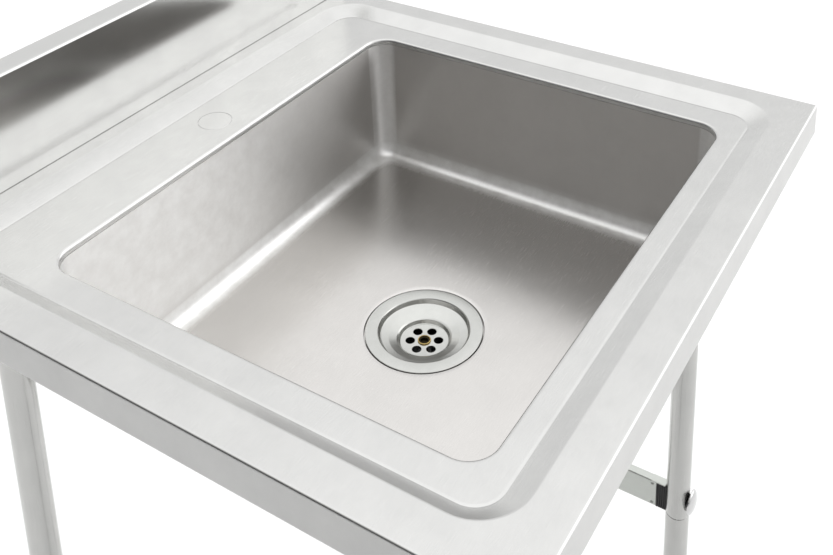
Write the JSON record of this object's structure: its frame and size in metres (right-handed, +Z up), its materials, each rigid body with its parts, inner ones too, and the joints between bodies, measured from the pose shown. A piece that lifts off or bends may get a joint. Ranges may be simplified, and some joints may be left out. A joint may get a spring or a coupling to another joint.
{
  "type": "free-standing handwash sink",
  "caption": "Free-standing stainless handwash sink: one welded bowl in a raised-rim worktop with splashback, strainer waste, round legs, side rails and levelling feet.",
  "frame": {"origin": "centre of the footprint, on the floor", "axes": "+X to the user's right, +Y from the user towards the splashback, +Z up"},
  "size_m": [0.6, 0.59, 0.955],
  "materials": {
    "satin_steel_top": "satin-ground stainless sheet with a fine grain",
    "satin_steel_bowl": "satin stainless, brighter ground weld coves",
    "strainer_steel": "fine satin flange with a bright turned cup",
    "leg_tube_steel": "drawn stainless tube, satin",
    "rail_steel": "satin rectangular tube",
    "zinc_fittings": "zinc-plated fittings",
    "bolt_steel": "polished stainless bolt head",
    "brass_screw": "plain turned brass",
    "black_plastic": "moulded black plastic",
    "waste_plastic": "dark grey moulded plastic",
    "black_rubber": "moulded rubber"
  },
  "bodies": {
    "frame": {"worktop": "satin_steel_top", "tap_hole_blank": "satin_steel_top", "splashback": "satin_steel_top", "bowl": "satin_steel_bowl", "side_channel_left": "zinc_fittings", "side_channel_right": "zinc_fittings", "waste_strainer": "strainer_steel", "strainer_screw": "brass_screw", "upper_gasket": "black_rubber", "lower_gasket": "black_rubber", "waste_body": "waste_plastic", "outlet_washer": "black_rubber", "tail_pipe": "waste_plastic", "union_nut": "waste_plastic", "side_rail_left": "rail_steel", "side_rail_right": "rail_steel", "leg_socket_fl": "zinc_fittings", "socket_screw_fl": "zinc_fittings", "upper_leg_fl": "leg_tube_steel", "lower_leg_fl": "leg_tube_steel", "rail_plug_fl": "black_plastic", "rail_bolt_fl": "bolt_steel", "bolt_saddle_fl": "black_plastic", "foot_insert_fl": "black_plastic", "leg_socket_fr": "zinc_fittings", "socket_screw_fr": "zinc_fittings", "upper_leg_fr": "leg_tube_steel", "lower_leg_fr": "leg_tube_steel", "rail_plug_fr": "black_plastic", "rail_bolt_fr": "bolt_steel", "bolt_saddle_fr": "black_plastic", "foot_insert_fr": "black_plastic", "leg_socket_bl": "zinc_fittings", "socket_screw_bl": "zinc_fittings", "upper_leg_bl": "leg_tube_steel", "lower_leg_bl": "leg_tube_steel", "rail_plug_bl": "black_plastic", "rail_bolt_bl": "bolt_steel", "bolt_saddle_bl": "black_plastic", "foot_insert_bl": "black_plastic", "leg_socket_br": "zinc_fittings", "socket_screw_br": "zinc_fittings", "upper_leg_br": "leg_tube_steel", "lower_leg_br": "leg_tube_steel", "rail_plug_br": "black_plastic", "rail_bolt_br": "bolt_steel", "bolt_saddle_br": "black_plastic", "foot_insert_br": "black_plastic"},
    "foot_pad_body_fl": {"foot_pad_fl": "black_rubber"},
    "foot_stud_body_fl": {"foot_stud_fl": "zinc_fittings"},
    "foot_pad_body_fr": {"foot_pad_fr": "black_rubber"},
    "foot_stud_body_fr": {"foot_stud_fr": "zinc_fittings"},
    "foot_pad_body_bl": {"foot_pad_bl": "black_rubber"},
    "foot_stud_body_bl": {"foot_stud_bl": "zinc_fittings"},
    "foot_pad_body_br": {"foot_pad_br": "black_rubber"},
    "foot_stud_body_br": {"foot_stud_br": "zinc_fittings"}
  },
  "joints": [
    {"name": "foot_rise_fl", "type": "slide", "parent": "frame", "child": "foot_pad_body_fl", "axis": [0, 0, -1], "range_m": [0, 0.015]},
    {"name": "foot_turn_fl", "type": "hinge", "parent": "foot_pad_body_fl", "child": "foot_stud_body_fl", "pos_m": [-0.247, -0.195, 0.04], "axis": [0, 0, -1], "range_deg": [0, 3604]},
    {"name": "foot_rise_fr", "type": "slide", "parent": "frame", "child": "foot_pad_body_fr", "axis": [0, 0, -1], "range_m": [0, 0.015]},
    {"name": "foot_turn_fr", "type": "hinge", "parent": "foot_pad_body_fr", "child": "foot_stud_body_fr", "pos_m": [0.247, -0.195, 0.04], "axis": [0, 0, -1], "range_deg": [0, 3604]},
    {"name": "foot_rise_bl", "type": "slide", "parent": "frame", "child": "foot_pad_body_bl", "axis": [0, 0, -1], "range_m": [0, 0.015]},
    {"name": "foot_turn_bl", "type": "hinge", "parent": "foot_pad_body_bl", "child": "foot_stud_body_bl", "pos_m": [-0.247, 0.195, 0.04], "axis": [0, 0, -1], "range_deg": [0, 3604]},
    {"name": "foot_rise_br", "type": "slide", "parent": "frame", "child": "foot_pad_body_br", "axis": [0, 0, -1], "range_m": [0, 0.015]},
    {"name": "foot_turn_br", "type": "hinge", "parent": "foot_pad_body_br", "child": "foot_stud_body_br", "pos_m": [0.247, 0.195, 0.04], "axis": [0, 0, -1], "range_deg": [0, 3604]}
  ],
  "couplings": [
    {"joint": "foot_turn_fl", "follows": "foot_rise_fl", "rad_per_m": 4188.8},
    {"joint": "foot_turn_fr", "follows": "foot_rise_fr", "rad_per_m": 4188.8},
    {"joint": "foot_turn_bl", "follows": "foot_rise_bl", "rad_per_m": 4188.8},
    {"joint": "foot_turn_br", "follows": "foot_rise_br", "rad_per_m": 4188.8}
  ]
}
